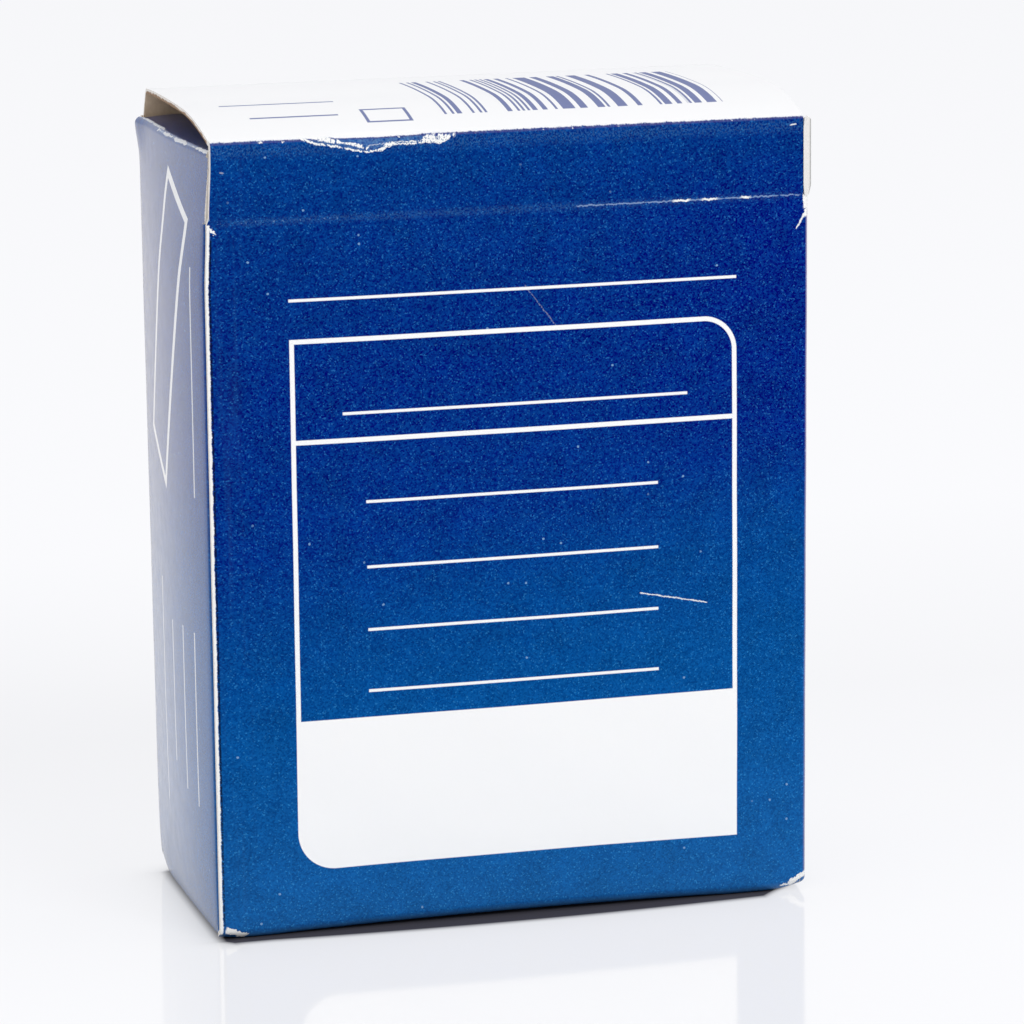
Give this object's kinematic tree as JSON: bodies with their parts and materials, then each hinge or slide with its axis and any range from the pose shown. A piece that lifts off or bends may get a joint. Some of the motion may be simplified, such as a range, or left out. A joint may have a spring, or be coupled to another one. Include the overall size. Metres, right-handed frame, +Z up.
{
  "type": "microscope slide box",
  "caption": "Upright folding card box with a hinged tuck lid, filled with a stack of plain glass microscope slides standing on their short ends.",
  "frame": {"origin": "centre of the base, on the surface that the box stands on", "axes": "+Z up along the slides, -Y out of the front panel where the lid is hinged, +X to the right seen from the front"},
  "size_m": [0.0604, 0.0306, 0.0812],
  "materials": {
    "printed_card": "satin blue print on white coated board",
    "lid_card": "white coated board, blue front strip, grey-brown inside",
    "slide_glass": "clear float glass with cut edges"
  },
  "bodies": {
    "carton": {"carton": "printed_card", "slide_01": "slide_glass", "slide_02": "slide_glass", "slide_03": "slide_glass", "slide_04": "slide_glass", "slide_05": "slide_glass", "slide_06": "slide_glass", "slide_07": "slide_glass", "slide_08": "slide_glass", "slide_09": "slide_glass", "slide_10": "slide_glass", "slide_11": "slide_glass", "slide_12": "slide_glass", "slide_13": "slide_glass", "slide_14": "slide_glass", "slide_15": "slide_glass", "slide_16": "slide_glass", "slide_17": "slide_glass", "slide_18": "slide_glass", "slide_19": "slide_glass", "slide_20": "slide_glass", "slide_21": "slide_glass", "slide_22": "slide_glass", "slide_23": "slide_glass", "slide_24": "slide_glass", "slide_25": "slide_glass", "slide_26": "slide_glass", "slide_27": "slide_glass", "slide_28": "slide_glass", "slide_29": "slide_glass", "slide_30": "slide_glass", "slide_31": "slide_glass", "slide_32": "slide_glass", "slide_33": "slide_glass", "slide_34": "slide_glass", "slide_35": "slide_glass", "slide_36": "slide_glass", "slide_37": "slide_glass", "slide_38": "slide_glass", "slide_39": "slide_glass", "slide_40": "slide_glass", "slide_41": "slide_glass", "slide_42": "slide_glass", "slide_43": "slide_glass", "slide_44": "slide_glass", "slide_45": "slide_glass", "slide_46": "slide_glass", "slide_47": "slide_glass", "slide_48": "slide_glass", "slide_49": "slide_glass", "slide_50": "slide_glass"},
    "lid": {"lid": "lid_card"}
  },
  "joints": [
    {"name": "lid_hinge", "type": "hinge", "parent": "carton", "child": "lid", "pos_m": [0, -0.0153, 0.071], "axis": [1, 0, 0], "range_deg": [0, 135]}
  ]
}
